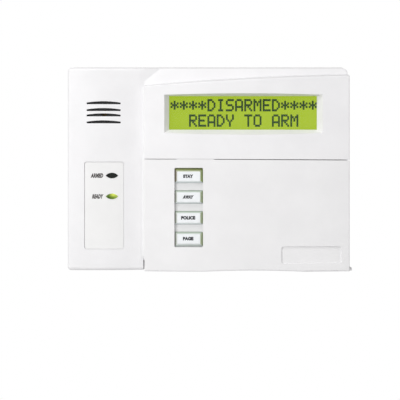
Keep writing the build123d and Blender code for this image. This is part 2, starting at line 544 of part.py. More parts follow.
with BuildPart() as lcd_frame:
    frame_opening = [side - 2 * LCD_FRAME_WALL for side in LCD_FRAME]
    plate(WINDOW, LCD_FRAME, (LCD_BACK, LCD_FRAME_FRONT), 1.0)
    plate(WINDOW, frame_opening, (LCD_BACK - 1, LCD_GLASS_FRONT), 0.6, Mode.SUBTRACT)
    plate(WINDOW, (98.4, 23.4), (LCD_BACK - 1, LCD_FRAME_FRONT + 1), 0.4, Mode.SUBTRACT)
    for x in (-30.0, 0.0, 30.0):
        box((WINDOW[0] + x - 3, WINDOW[0] + x + 3), (0, CASE_TOP), (17.0, 19.0), Mode.SUBTRACT)
lcd_frame.part.label = "lcd_frame"
export_step(lcd_frame.part, "parts/lcd_frame.step")

with BuildPart() as lcd_glass:
    plate(WINDOW, (101.6, 26.2), (LCD_GLASS_BACK, LCD_GLASS_STEP))
    plate(WINDOW, (101.6, 23.6), (LCD_GLASS_STEP, LCD_GLASS_FRONT))
lcd_glass.part.label = "lcd_glass"
export_step(lcd_glass.part, "parts/lcd_glass.step")

with BuildPart() as lcd_backlight:
    plate(WINDOW, (101.6, 22.6), (LCD_BACK, LCD_GLASS_BACK), 0.5)
lcd_backlight.part.label = "lcd_backlight"
export_step(lcd_backlight.part, "parts/lcd_backlight.step")

with BuildPart() as lcd_contact_strips:
    for side in (-1, 1):
        plate((WINDOW[0], WINDOW[1] + side * 12.3), (98.0, 1.4), (LCD_BACK, LCD_GLASS_BACK))
lcd_contact_strips.part.label = "lcd_contact_strips"
export_step(lcd_contact_strips.part, "parts/lcd_contact_strips.step")

with BuildPart() as lcd_board:
    box((WINDOW[0] - LCD_BOARD_HALF, WINDOW[0] + LCD_BOARD_HALF), LCD_BOARD_Z, (LCD_BOARD_BACK, LCD_BACK))
    posts(lcd_screw_points, 1.3, (LCD_BOARD_BACK - 1, LCD_BACK + 1), Mode.SUBTRACT)
    posts(header_pins, 0.45, (LCD_BOARD_BACK - 1, LCD_BACK + 1), Mode.SUBTRACT)
lcd_board.part.label = "lcd_board"
export_step(lcd_board.part, "parts/lcd_board.step")

with BuildPart() as lcd_header:
    plate((WINDOW[0], HEADER_Z), (41.5, 2.5), (BOARD_FRONT, LCD_BOARD_BACK))
    posts(header_pins, 0.3, (BOARD_DEPTH - 0.8, LCD_BACK + 1.2))
lcd_header.part.label = "lcd_header"
export_step(lcd_header.part, "parts/lcd_header.step")

with BuildPart() as lcd_screws:
    posts(lcd_screw_points, 2.0, (LCD_BOARD_BACK - 1.3, LCD_BOARD_BACK))
    posts(lcd_screw_points, 0.95, (LCD_BOARD_BACK, LCD_BACK + 4))
    crosses(lcd_screw_points, (2.8, 0.6), (LCD_BOARD_BACK - 1.4, LCD_BOARD_BACK - 0.7))
lcd_screws.part.label = "lcd_screws"
export_step(lcd_screws.part, "parts/lcd_screws.step")

# ---------------------------------------------------------------- main board and what is on it
with BuildPart() as main_board:
    box(BOARD_X, BOARD_Z, (BOARD_DEPTH, BOARD_FRONT))
    posts(BOARD_SCREWS, 1.6, (BOARD_DEPTH - 1, BOARD_FRONT + 1), Mode.SUBTRACT)
    posts(header_pins, 0.45, (BOARD_DEPTH - 1, BOARD_FRONT + 1), Mode.SUBTRACT)
main_board.part.label = "main_board"
export_step(main_board.part, "parts/main_board.step")

with BuildPart() as board_screws:
    posts(BOARD_SCREWS, 2.7, (BOARD_DEPTH - 1.6, BOARD_DEPTH))
    posts(BOARD_SCREWS, 1.2, (BOARD_DEPTH, 16.5))
    crosses(BOARD_SCREWS, (3.6, 0.8), (BOARD_DEPTH - 1.7, BOARD_DEPTH - 0.8))
board_screws.part.label = "board_screws"
export_step(board_screws.part, "parts/board_screws.step")

with BuildPart() as microcontroller:
    plate(CHIP_CENTRE, (CHIP_SIDE, CHIP_SIDE), (BOARD_DEPTH - 2.3, BOARD_DEPTH - 0.3), 0.4)
    chip_x, chip_z = CHIP_CENTRE
    lead_reach = CHIP_SIDE / 2 + 0.9
    for n in range(CHIP_LEADS):
        offset = n - (CHIP_LEADS - 1) / 2
        for side in (-1, 1):
            lead_depths = (BOARD_DEPTH - 0.5, BOARD_DEPTH)
            plate((chip_x + offset, chip_z + side * lead_reach), (0.4, 1.9), lead_depths)
            plate((chip_x + side * lead_reach, chip_z + offset), (1.9, 0.4), lead_depths)
microcontroller.part.label = "microcontroller"
export_step(microcontroller.part, "parts/microcontroller.step")

with BuildPart() as crystal:
    plate((-60.0, -38.0), (11.0, 4.6), (BOARD_DEPTH - 3.4, BOARD_DEPTH), 2.2)
crystal.part.label = "crystal"
export_step(crystal.part, "parts/crystal.step")

with BuildPart() as capacitors:
    posts([(-66.0, 20.0), (-52.0, 20.0), (60.0, -18.0)], 4.0, (BOARD_DEPTH - 6.8, BOARD_DEPTH))
    fillet(capacitors.faces().sort_by(Axis.Y)[-3:].edges(), radius=0.4)
capacitors.part.label = "capacitors"
export_step(capacitors.part, "parts/capacitors.step")

with BuildPart() as regulator:
    plate((60.0, 8.0), (10.0, 9.0), (BOARD_DEPTH - 4, BOARD_DEPTH), 0.3)
    plate((60.0, 15.0), (10.0, 6.0), (BOARD_DEPTH - 1.2, BOARD_DEPTH), 0.3)
regulator.part.label = "regulator"
export_step(regulator.part, "parts/regulator.step")

with BuildPart() as terminal_block:
    box((-12.4, 12.4), (-5.0, 5.0), (TERMINAL_DEPTH, BOARD_DEPTH))
    posts(terminal_points, 2.0, (TERMINAL_DEPTH - 1, 8.6), Mode.SUBTRACT)
    for x, z in terminal_points:
        box((x - 1.5, x + 1.5), (-6.0, -2.2), (7.4, 10.0), Mode.SUBTRACT)
terminal_block.part.label = "terminal_block"
export_step(terminal_block.part, "parts/terminal_block.step")

with BuildPart() as terminal_screws:
    posts(terminal_points, 1.8, (TERMINAL_DEPTH + 0.6, 8.6))
    for centre in terminal_points:
        plate(centre, (3.8, 0.6), (TERMINAL_DEPTH, TERMINAL_DEPTH + 1.3), mode=Mode.SUBTRACT)
terminal_screws.part.label = "terminal_screws"
export_step(terminal_screws.part, "parts/terminal_screws.step")

with BuildPart() as sounder_housing:
    posts([SPEAKER], 13.0, (BOARD_FRONT, 17.6))
    posts([SPEAKER], 11.8, (14.0, 20.0), Mode.SUBTRACT)
    posts([SPEAKER], 10.4, (13.4, 15.0), Mode.SUBTRACT)
sounder_housing.part.label = "sounder_housing"
export_step(sounder_housing.part, "parts/sounder_housing.step")

with BuildPart() as sounder_lid:
    posts([SPEAKER], 13.0, (17.6, 18.4))
    posts([SPEAKER], 2.0, (17.0, 19.0), Mode.SUBTRACT)
sounder_lid.part.label = "sounder_lid"
export_step(sounder_lid.part, "parts/sounder_lid.step")

with BuildPart() as sounder_disc:
    posts([SPEAKER], 11.6, (14.0, 14.3))
    posts([SPEAKER], 8.5, (14.3, 14.6))
sounder_disc.part.label = "sounder_disc"
export_step(sounder_disc.part, "parts/sounder_disc.step")

with BuildPart() as sounder_gasket:
    add(pod_room.part)
    posts([SPEAKER], 13.0, (18.4, FAR_DEPTH), Mode.INTERSECT)
    posts([SPEAKER], 12.0, (18.0, FAR_DEPTH), Mode.SUBTRACT)
sounder_gasket.part.label = "sounder_gasket"
export_step(sounder_gasket.part, "parts/sounder_gasket.step")

for name, z in zip(("armed", "ready"), LED_HEIGHTS):
    with BuildPart() as led:
        posts([(LED_X, z)], 1.9, (BOARD_FRONT, BOARD_FRONT + 0.9))
        posts([(LED_X, z)], 1.5, (BOARD_FRONT + 0.9, 16.4))
        fillet(led.faces().sort_by(Axis.Y)[0].edges(), radius=1.2)
    led.part.label = f"led_{name}"
    export_step(led.part, f"parts/led_{name}.step")
    with BuildPart() as lens:
        add(pod_inner)
        ovals([(LED_X, z)], (11.0, 5.6), (17.6, FAR_DEPTH), Mode.INTERSECT)
        ovals([(LED_X, z)], LENS_OVAL, (16.8, 21.75))
        chamfer(lens.faces().sort_by(Axis.Y)[0].edges(), length=0.35)
    lens.part.label = f"{name}_lens"
    export_step(lens.part, f"parts/{name}_lens.step")

with BuildPart() as status_label:
    add(label_face)
    plate(LABEL_CENTRE, LABEL_SIZE, (POD_CUT_DEPTH, FAR_DEPTH), 1.35, Mode.INTERSECT)
    add(label_floor, mode=Mode.SUBTRACT)
    ovals([(LED_X, z) for z in LED_HEIGHTS], lens_opening, (POD_CUT_DEPTH, FAR_DEPTH), Mode.SUBTRACT)
status_label.part.label = "status_label"
export_step(status_label.part, "parts/status_label.step")

# ---------------------------------------------------------------- keys
with BuildPart() as key_mat:
    plate((26.0, ISLAND_Z), (104.0, 56.4), (BOARD_FRONT, 14.0), 2.0)
    for centre in function_points + number_points:
        plate(centre, (20.2, 11.0), (0, 20), 1.4, Mode.SUBTRACT)
key_mat.part.label = "key_mat"
export_step(key_mat.part, "parts/key_mat.step")

with BuildPart() as key_backlights:
    for x, z in function_points + number_points:
        for side in (-1, 1):
            plate((x + side * 5.0, z), (2.0, 1.2), (BOARD_FRONT, BOARD_FRONT + 0.5))
key_backlights.part.label = "key_backlights"
export_step(key_backlights.part, "parts/key_backlights.step")

with BuildPart() as contact_pads:
    posts(function_points + number_points, 2.4, (BOARD_FRONT, BOARD_FRONT + 0.05))
contact_pads.part.label = "contact_pads"
export_step(contact_pads.part, "parts/contact_pads.step")


def make_key(name, centre, body, face_centre, face, depths):
    """One translucent key: flange, hollow underside with a plunger, straight body and a tapered cap."""
    shoulder, top = depths
    with BuildPart() as key:
        plate(centre, [side + 2 * KEY_FLANGE for side in body], (KEY_FLANGE_LOW, KEY_FLANGE_TOP), 1.0)
        plate(centre, body, (KEY_REST_DEPTH, shoulder), KEY_CORNER)
        with BuildSketch(level(shoulder)) as shoulder_outline:
            with Locations(centre):
                RectangleRounded(*body, KEY_CORNER)
        with BuildSketch(level(top)) as face_outline:
            with Locations(face_centre):
                RectangleRounded(*face, 0.6)
        loft([shoulder_outline.sketch.face(), face_outline.sketch.face()])
        fillet(key.faces().sort_by(Axis.Y)[0].edges(), radius=0.3)
        plate(centre, [side - 3 for side in body], (KEY_REST_DEPTH - 1, 16.6), 0.5, Mode.SUBTRACT)
        posts([centre], 1.9, (KEY_REST_DEPTH - 0.35, 17.0))
    key.part.label = f"key_{name}"
    export_step(key.part, f"parts/key_{name}.step")


for name, centre, body, z in zip(FUNCTION_NAMES, function_points, function_bodies, ROWS):
    make_key(name, centre, body, (FUNCTION_X, z), FUNCTION_FACE, FUNCTION_DEPTHS)
for name, centre in zip(NUMBER_NAMES, number_points):
    make_key(name, centre, NUMBER_BODY, centre, NUMBER_FACE, NUMBER_DEPTHS)
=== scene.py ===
"""Looks for the wall-mounted alarm keypad: materials, display characters, printing, light and camera.

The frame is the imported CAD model: +X is to the right, +Z is up and the room is towards -Y.
Lengths are in metres unless a comment says mm.
"""

import math

import bmesh
import bpy
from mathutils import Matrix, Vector
from mathutils.bvhtree import BVHTree


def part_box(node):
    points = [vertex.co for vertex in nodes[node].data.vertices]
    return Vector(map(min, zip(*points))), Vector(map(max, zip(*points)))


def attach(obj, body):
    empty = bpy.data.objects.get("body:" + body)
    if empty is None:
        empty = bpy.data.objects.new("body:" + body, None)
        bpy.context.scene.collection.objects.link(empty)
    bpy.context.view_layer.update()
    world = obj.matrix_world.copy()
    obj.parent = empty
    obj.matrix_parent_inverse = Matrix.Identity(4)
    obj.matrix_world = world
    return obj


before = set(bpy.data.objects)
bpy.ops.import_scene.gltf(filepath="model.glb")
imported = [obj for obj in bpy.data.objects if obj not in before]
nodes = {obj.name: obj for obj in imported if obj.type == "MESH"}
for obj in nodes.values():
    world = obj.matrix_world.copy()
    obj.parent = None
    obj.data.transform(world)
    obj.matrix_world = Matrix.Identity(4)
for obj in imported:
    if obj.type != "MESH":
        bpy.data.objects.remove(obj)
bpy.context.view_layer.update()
scene = bpy.context.scene

MM = 0.001
UM = 0.000001  # a micrometre

# ---------------------------------------------------------------- camera, light and backdrop
CAMERA_DISTANCE = 0.6
AMBIENT_COLOUR, AMBIENT_STRENGTH = (1.0, 0.985, 0.99), 0.42
BACKDROP_COLOUR, BACKDROP_STRENGTH = (1.0, 1.0, 1.0), 1.0
SOFT_BOXES = {  # place and side of the square in metres, and power in watts
    "top_light": ((-0.3, -0.75, 1.1), 0.6, 6.2),
    "key_light": ((-0.75, -1.2, 0.3), 0.6, 8.5),
    "side_light": ((1.3, -0.25, 0.1), 0.5, 2.0),
}

camera_data = bpy.data.cameras.new("camera")
camera_data.lens = 79.0
camera_data.sensor_width = 36.0
camera_data.shift_x = -0.024
camera_data.shift_y = -0.0763
camera_data.clip_start = 0.01
camera_data.clip_end = 50.0
camera = bpy.data.objects.new("camera", camera_data)
camera.location = (0.0, -CAMERA_DISTANCE, 0.0)
camera.rotation_euler = (math.radians(90), 0, 0)
scene.collection.objects.link(camera)
scene.camera = camera

scene.view_settings.view_transform = "Standard"
scene.view_settings.look = "None"
scene.view_settings.exposure = 0.0


def background(tree, colour, strength):
    node = tree.nodes.new("ShaderNodeBackground")
    node.inputs["Color"].default_value = (*colour, 1)
    node.inputs["Strength"].default_value = strength
    return node.outputs[0]


def studio_world():
    """A white backdrop for the camera to see, and a dimmer ambient light for everything else."""
    world = bpy.data.worlds.new("studio")
    scene.world = world
    world.use_nodes = True
    tree = world.node_tree
    tree.nodes.clear()
    world_out = tree.nodes.new("ShaderNodeOutputWorld")
    pick = tree.nodes.new("ShaderNodeMixShader")
    path = tree.nodes.new("ShaderNodeLightPath")
    tree.links.new(path.outputs["Is Camera Ray"], pick.inputs["Fac"])
    tree.links.new(background(tree, AMBIENT_COLOUR, AMBIENT_STRENGTH), pick.inputs[1])
    tree.links.new(background(tree, BACKDROP_COLOUR, BACKDROP_STRENGTH), pick.inputs[2])
    tree.links.new(pick.outputs[0], world_out.inputs["Surface"])


def soft_box(name, location, side, power):
    """A square area light that points at the frame's origin."""
    data = bpy.data.lights.new(name, "AREA")
    data.shape = "SQUARE"
    data.size = side
    data.energy = power
    obj = bpy.data.objects.new(name, data)
    obj.location = location
    obj.rotation_euler = (-obj.location).to_track_quat("-Z", "Y").to_euler()
    scene.collection.objects.link(obj)


studio_world()
for name, (location, side, power) in SOFT_BOXES.items():
    soft_box(name, location, side, power)


# ---------------------------------------------------------------- materials
NOISE_BAND = (0.3, 0.7)  # the part of a noise texture's range that its values mostly fill


class Shader:
    """A node material with a Principled shader, and short ways to add the nodes that feed it."""

    def __init__(self, name, colour, roughness=0.5, metallic=0.0, **sockets):
        self.material = bpy.data.materials.new(name)
        self.material.use_nodes = True
        self.nodes = self.material.node_tree.nodes
        self.links = self.material.node_tree.links
        self.main = self.nodes["Principled BSDF"]
        self.set("Base Color", (*colour, 1.0))
        self.set("Roughness", roughness)
        self.set("Metallic", metallic)
        for socket, value in sockets.items():
            self.set(socket.replace("_", " "), value)

    def set(self, socket, value):
        self.main.inputs[socket].default_value = value

    def link(self, output, socket):
        self.links.new(output, self.main.inputs[socket])

    def surface(self, what="Object"):
        """The surface point in the piece's own coordinates, or its Normal."""
        return self.nodes.new("ShaderNodeTexCoord").outputs[what]

    def component(self, what, axis):
        node = self.nodes.new("ShaderNodeSeparateXYZ")
        self.links.new(self.surface(what), node.inputs[0])
        return node.outputs[axis]

    def noise(self, scale, detail=3.0, rough=0.5):
        node = self.nodes.new("ShaderNodeTexNoise")
        node.inputs["Scale"].default_value = scale
        node.inputs["Detail"].default_value = detail
        node.inputs["Roughness"].default_value = rough
        self.links.new(self.surface(), node.inputs["Vector"])
        return node.outputs["Fac"]

    def spread(self, value, low, high, to_low=0.0, to_high=1.0):
        """The range from low to high stretched or shrunk to another one."""
        node = self.nodes.new("ShaderNodeMapRange")
        node.inputs["From Min"].default_value = low
        node.inputs["From Max"].default_value = high
        node.inputs["To Min"].default_value = to_low
        node.inputs["To Max"].default_value = to_high
        self.links.new(value, node.inputs["Value"])
        return node.outputs["Result"]

    def ramp(self, value, stops):
        """A colour that follows the value through (position, colour) stops."""
        node = self.nodes.new("ShaderNodeValToRGB")
        elements = node.color_ramp.elements
        while len(elements) < len(stops):
            elements.new(0.5)
        for element, (at, colour) in zip(elements, stops):
            element.position = at
            element.color = (*colour, 1.0)
        self.links.new(value, node.inputs["Fac"])
        return node.outputs["Color"]

    def mix(self, amount, a, b):
        node = self.nodes.new("ShaderNodeMix")
        node.data_type = "RGBA"
        self.feed(node.inputs[0], amount)
        self.feed(node.inputs[6], a)
        self.feed(node.inputs[7], b)
        return node.outputs[2]

    def math(self, operation, a, b=0.0):
        node = self.nodes.new("ShaderNodeMath")
        node.operation = operation
        self.feed(node.inputs[0], a)
        self.feed(node.inputs[1], b)
        return node.outputs[0]

    def feed(self, socket, source):
        if isinstance(source, bpy.types.NodeSocket):
            self.links.new(source, socket)
        elif isinstance(source, tuple):
            socket.default_value = (*source, 1.0)
        else:
            socket.default_value = source

    def bump(self, height, distance, strength=1.0):
        node = self.nodes.new("ShaderNodeBump")
        node.inputs["Distance"].default_value = distance
        node.inputs["Strength"].default_value = strength
        self.links.new(height, node.inputs["Height"])
        self.link(node.outputs["Normal"], "Normal")


def scaled(colour, factor):
    return tuple(min(1.0, c * factor) for c in colour)


def paint(mesh, shader):
    mesh.materials.clear()
    mesh.materials.append(shader.material)


def moulded(name, colour, roughness, grain=20 * UM, grain_scale=2600.0, tint=0.012, **sockets):
    """Moulded plastic, rubber, foam, paper or ink: fine grain, faint mottling and uneven gloss."""
    shader = Shader(name, colour, roughness, **sockets)
    mottle = shader.noise(38.0, detail=4.0, rough=0.55)
    darker, lighter = scaled(colour, 1 - 2.2 * tint), scaled(colour, 1 + tint)
    shader.link(shader.ramp(mottle, [(0.35, darker), (0.65, lighter)]), "Base Color")
    gloss = shader.spread(shader.noise(210.0), *NOISE_BAND, roughness - 0.05, roughness + 0.06)
    shader.link(gloss, "Roughness")
    shader.bump(shader.noise(grain_scale, detail=2.0, rough=0.6), grain, strength=0.6)
    return shader


def metal(name, colour, roughness):
    """Plated or rolled metal with fine lines and slight tarnish."""
    shader = Shader(name, colour, roughness, metallic=1.0)
    squeeze = shader.nodes.new("ShaderNodeMapping")
    squeeze.inputs["Scale"].default_value = (1.0, 1.0, 26.0)
    shader.links.new(shader.surface(), squeeze.inputs["Vector"])
    lines = shader.nodes.new("ShaderNodeTexNoise")
    lines.inputs["Scale"].default_value = 180.0
    lines.inputs["Detail"].default_value = 4.0
    shader.links.new(squeeze.outputs[0], lines.inputs["Vector"])
    gloss = shader.spread(lines.outputs["Fac"], *NOISE_BAND, roughness - 0.08, roughness + 0.1)
    shader.link(gloss, "Roughness")
    tarnish = shader.ramp(shader.noise(260.0), [(0.4, scaled(colour, 0.8)), (0.62, colour)])
    shader.link(tarnish, "Base Color")
    shader.bump(lines.outputs["Fac"], 10 * UM, strength=0.5)
    return shader


WHITE = (0.858, 0.856, 0.864)
case_plastic = moulded("case_plastic", WHITE, 0.42)
# greyer than the front case: painted shade, so that the rear case's rim line at the top reads as a shaded
# seam
rear_plastic = moulded("rear_plastic", (0.74, 0.74, 0.735), 0.5)
door_plastic = moulded("door_plastic", (0.854, 0.852, 0.856), 0.4)
label_print = moulded("label_print", (0.865, 0.865, 0.86), 0.34, grain=6 * UM, grain_scale=4200.0)
door_paper = moulded("door_paper", (0.78, 0.78, 0.76), 0.6, grain=12 * UM, grain_scale=3000.0, tint=0.02)
black_plastic = moulded("black_plastic", (0.018, 0.018, 0.019), 0.45, tint=0.1)
chip_epoxy = moulded("chip_epoxy", (0.022, 0.022, 0.024), 0.55, grain=10 * UM, tint=0.15)
rubber_black = moulded("rubber_black", (0.03, 0.03, 0.03), 0.72, grain=30 * UM, tint=0.15)
foam_black = moulded(
    "foam_black", (0.025, 0.025, 0.026), 0.9, grain=120 * UM, grain_scale=1500.0, tint=0.3
)
mat_silicone = moulded("mat_silicone", (0.42, 0.42, 0.41), 0.62, grain=10 * UM, tint=0.05)
terminal_green = moulded("terminal_green", (0.03, 0.22, 0.07), 0.4, tint=0.06)
capacitor_sleeve = moulded("capacitor_sleeve", (0.02, 0.025, 0.09), 0.3, grain=6 * UM, tint=0.1)
carbon_ink = moulded("carbon_ink", (0.03, 0.03, 0.03), 0.35, grain=8 * UM, tint=0.2)
led_clear = moulded("led_clear", (0.75, 0.8, 0.45), 0.2, grain=3 * UM, tint=0.05)
led_red = moulded("led_red", (0.3, 0.02, 0.015), 0.15, grain=3 * UM, tint=0.08)
led_green = moulded("led_green", (0.18, 0.5, 0.04), 0.15, grain=3 * UM, tint=0.08)
steel_zinc = metal("steel_zinc", (0.62, 0.62, 0.64), 0.32)
steel_dull = metal("steel_dull", (0.42, 0.43, 0.44), 0.42)
can_bright = metal("can_bright", (0.78, 0.78, 0.8), 0.18)
brass_disc = metal("brass_disc", (0.16, 0.11, 0.045), 0.5)


def circuit_board(name):
    """Green solder mask with copper tracks that show through as a lighter pattern."""
    shader = Shader(name, (0.012, 0.11, 0.035), 0.3)
    tracks = shader.nodes.new("ShaderNodeTexBrick")
    tracks.inputs["Scale"].default_value = 160.0
    tracks.inputs["Mortar Size"].default_value = 0.035
    tracks.inputs["Color1"].default_value = (0.01, 0.1, 0.03, 1)
    tracks.inputs["Color2"].default_value = (0.014, 0.125, 0.04, 1)
    tracks.inputs["Mortar"].default_value = (0.05, 0.24, 0.075, 1)
    turn = shader.nodes.new("ShaderNodeMapping")
    turn.inputs["Rotation"].default_value = (math.radians(90), 0, 0)
    shader.links.new(shader.surface(), turn.inputs["Vector"])
    shader.links.new(turn.outputs[0], tracks.inputs["Vector"])
    shader.link(tracks.outputs["Color"], "Base Color")
    shader.link(shader.spread(shader.noise(300.0), *NOISE_BAND, 0.22, 0.4), "Roughness")
    shader.bump(tracks.outputs["Fac"], 30 * UM, strength=0.6)
    return shader


board_green = circuit_board("board_green")

# the display
DOT_X, DOT_Z = 1.012 * MM, 1.125 * MM  # from one dot to the next
COLUMN_STEP, LINE_STEP = 6, 9  # dots from one character to the next, along and down
CHARACTER_PITCH = COLUMN_STEP * DOT_X
CELL_HALF = 0.42  # half of a character's darker cell, as a part of the pitch
MATT = 0.08  # the specular level of the glass and the characters


def display_green(name):
    """The lit display: unevenly bright yellow-green, with the faint cells of its characters."""
    shader = Shader(name, (0.05, 0.07, 0.002), 0.25, Specular_IOR_Level=MATT)
    cloud = shader.noise(26.0, detail=2.0)
    lit = shader.ramp(cloud, [(0.3, (0.36, 0.5, 0.01)), (0.7, (0.39, 0.53, 0.02))])
    pitches = shader.math("DIVIDE", shader.component("Object", "X"), CHARACTER_PITCH)
    along = shader.math("FRACT", pitches)
    from_middle = shader.math("ABSOLUTE", shader.math("SUBTRACT", along, 0.5))
    in_cell = shader.math("LESS_THAN", from_middle, CELL_HALF)
    lit = shader.mix(shader.math("MULTIPLY", in_cell, 0.05), lit, (0.3, 0.45, 0.015))
    shader.link(lit, "Emission Color")
    shader.set("Emission Strength", 0.9)
    shader.bump(shader.noise(900.0), 2 * UM, strength=0.3)
    return shader


def glowing_backlight(name):
    shader = moulded(name, (0.3, 0.42, 0.08), 0.3, grain=4 * UM)
    shader.set("Emission Color", (0.4, 0.55, 0.05, 1))
    shader.set("Emission Strength", 0.4)
    return shader


def clear_window(name):
    """The display's cover: almost invisible, with a slightly uneven gloss."""
    shader = Shader(name, (0.9, 0.95, 0.9), 0.08, Alpha=0.02)
    shader.link(shader.spread(shader.noise(120.0), *NOISE_BAND, 0.05, 0.12), "Roughness")
    return shader


display_lit = display_green("display_lit")
backlight_glow = glowing_backlight("backlight_glow")
window_clear = clear_window("window_clear")
character_ink = moulded(
    "character_ink", (0.02, 0.065, 0.002), 0.5, grain=2 * UM, tint=0.08, Specular_IOR_Level=MATT
)
print_brown = moulded("print_brown", (0.05, 0.043, 0.04), 0.5, grain=2 * UM, tint=0.1)
print_black = moulded("print_black", (0.018, 0.02, 0.026), 0.45, grain=2 * UM, tint=0.1)

# the function keys: flank colours by the way that the surface faces, each mixing the key's green tint with
# painted light and shade, with a painted shadow from the slot's edge on the STAY key's flanks and painted
# light on the PAGE key's lower flank
KEY_FACE = (0.86, 0.885, 0.9)
LEFT_FLANK_TINT_AND_SHADE, RIGHT_FLANK_TINT_AND_LIGHT = (0.33, 0.35, 0.3), (0.34, 0.42, 0.2)
TOP_FLANK_TINT_AND_SHADE, BOTTOM_FLANK_TINT_AND_LIGHT = (0.31, 0.38, 0.3), (0.6, 0.65, 0.65)
STAY_LEFT_TINT_AND_SHADE, STAY_RIGHT_TINT_AND_LIGHT, STAY_TOP_TINT_AND_SHADOW = (0.19, 0.165, 0.1), (0.27, 0.36, 0.06), (0.24, 0.28, 0.07)
PAGE_BOTTOM_TINT_AND_LIGHT = (0.55, 0.6, 0.57)
FACE_TURN = (-0.97, -0.75)  # the normal's Y on the face, and where the flank's colour has taken over
SIDE_TURN = (-0.45, 0.45)  # the normal's X on the left flank and on the right one
SLOPE_TURN = (0.3, 0.6)  # the normal's Z where the top flank's colour starts and is complete
TINTED_DEPTH, BRIGHTEST_GLOW_DEPTH = 2.3 * MM, 0.1 * MM  # behind the face: where the flank shows its painted tint and shade, and where its painted glow is strongest
# how far the painted glow pales a flank towards the face's white, near the face
FLANK_PAINTED_GLOW = 0.38
# emission strength of the flanks: a painted glow in their tint and shade, as if the backlight shone through
# the key
KEY_GLOW = 0.2


def painted_light_key(name, left, right, top, bottom):
    """A translucent key lit from below: a white face, and green flanks with painted light and shade by the
    direction each faces, a painted glow that pales them near the face, and a painted emission in the flanks'
    colour.
    """
    shader = Shader(name, KEY_FACE, 0.32)
    front = shader.spread(shader.component("Normal", "Y"), *FACE_TURN, 1.0, 0.0)
    sideways = shader.spread(shader.component("Normal", "X"), *SIDE_TURN)
    upwards = shader.spread(shader.component("Normal", "Z"), *SLOPE_TURN)
    downwards = shader.spread(shader.component("Normal", "Z"), *(-turn for turn in SLOPE_TURN))
    face_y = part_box("key_stay")[0].y
    depths = (face_y + TINTED_DEPTH, face_y + BRIGHTEST_GLOW_DEPTH)
    painted_glow_near_face = shader.spread(shader.component("Object", "Y"), *depths, 0.0, FLANK_PAINTED_GLOW)
    # painted light and shade: each facing direction gets its own lit or shaded tint
    flank = shader.mix(sideways, left, right)
    flank = shader.mix(upwards, flank, top)
    flank = shader.mix(downwards, flank, bottom)
    flank = shader.mix(painted_glow_near_face, flank, KEY_FACE)
    cloud = shader.noise(330.0, detail=2.0)
    face = shader.ramp(cloud, [(0.35, KEY_FACE), (0.65, scaled(KEY_FACE, 1.04))])
    shader.link(shader.mix(front, flank, face), "Base Color")
    # painted glow: the flanks emit their tint and shade, and the face does not
    shader.link(shader.mix(front, flank, (0.0, 0.0, 0.0)), "Emission Color")
    shader.set("Emission Strength", KEY_GLOW)
    shader.bump(shader.noise(2400.0, detail=2.0), 6 * UM, strength=0.5)
    return shader


# lit and shaded copies of one key: each key gets its own painted light and shade on the flanks
stay_key_painted_light = painted_light_key("stay_key_painted_light", STAY_LEFT_TINT_AND_SHADE, STAY_RIGHT_TINT_AND_LIGHT, STAY_TOP_TINT_AND_SHADOW, BOTTOM_FLANK_TINT_AND_LIGHT)
away_key_painted_light = painted_light_key("away_key_painted_light", LEFT_FLANK_TINT_AND_SHADE, RIGHT_FLANK_TINT_AND_LIGHT, TOP_FLANK_TINT_AND_SHADE, BOTTOM_FLANK_TINT_AND_LIGHT)
page_key_painted_light = painted_light_key("page_key_painted_light", LEFT_FLANK_TINT_AND_SHADE, RIGHT_FLANK_TINT_AND_LIGHT, TOP_FLANK_TINT_AND_SHADE, PAGE_BOTTOM_TINT_AND_LIGHT)
number_key = moulded("number_key", (0.78, 0.82, 0.82), 0.32, grain=6 * UM)

LENS_LIP_X, LENS_LIP_Z = 1.45 * MM, 1.0 * MM  # the rim of a status lens that the case hides


def lit_lens(name):
    """A lit lens: dark towards the left end, with a yellow glow at the upper right."""
    shader = Shader(name, (0.04, 0.08, 0.01), 0.12)
    low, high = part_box("ready_lens")
    across = shader.spread(shader.component("Object", "X"), low.x + LENS_LIP_X, high.x - LENS_LIP_X)
    up = shader.spread(shader.component("Object", "Z"), low.z + LENS_LIP_Z, high.z - LENS_LIP_Z)
    upper_stops = [
        (0.0, (0.22, 0.28, 0.1)),
        (0.25, (0.07, 0.12, 0.01)),
        (0.6, (0.75, 0.82, 0.12)),
        (1.0, (0.4, 0.47, 0.12)),
    ]
    lower_stops = [
        (0.0, (0.12, 0.16, 0.05)),
        (0.22, (0.015, 0.03, 0.004)),
        (0.6, (0.13, 0.2, 0.01)),
        (1.0, (0.35, 0.42, 0.09)),
    ]
    lower, upper = shader.ramp(across, lower_stops), shader.ramp(across, upper_stops)
    shader.link(shader.mix(shader.spread(up, 0.35, 0.75), lower, upper), "Emission Color")
    shader.set("Emission Strength", 0.9)
    shader.bump(shader.noise(700.0), 2 * UM, strength=0.3)
    return shader


lens_lit = lit_lens("lens_lit")
lens_dark = moulded("lens_dark", (0.006, 0.009, 0.007), 0.12, grain=2 * UM, tint=0.3)

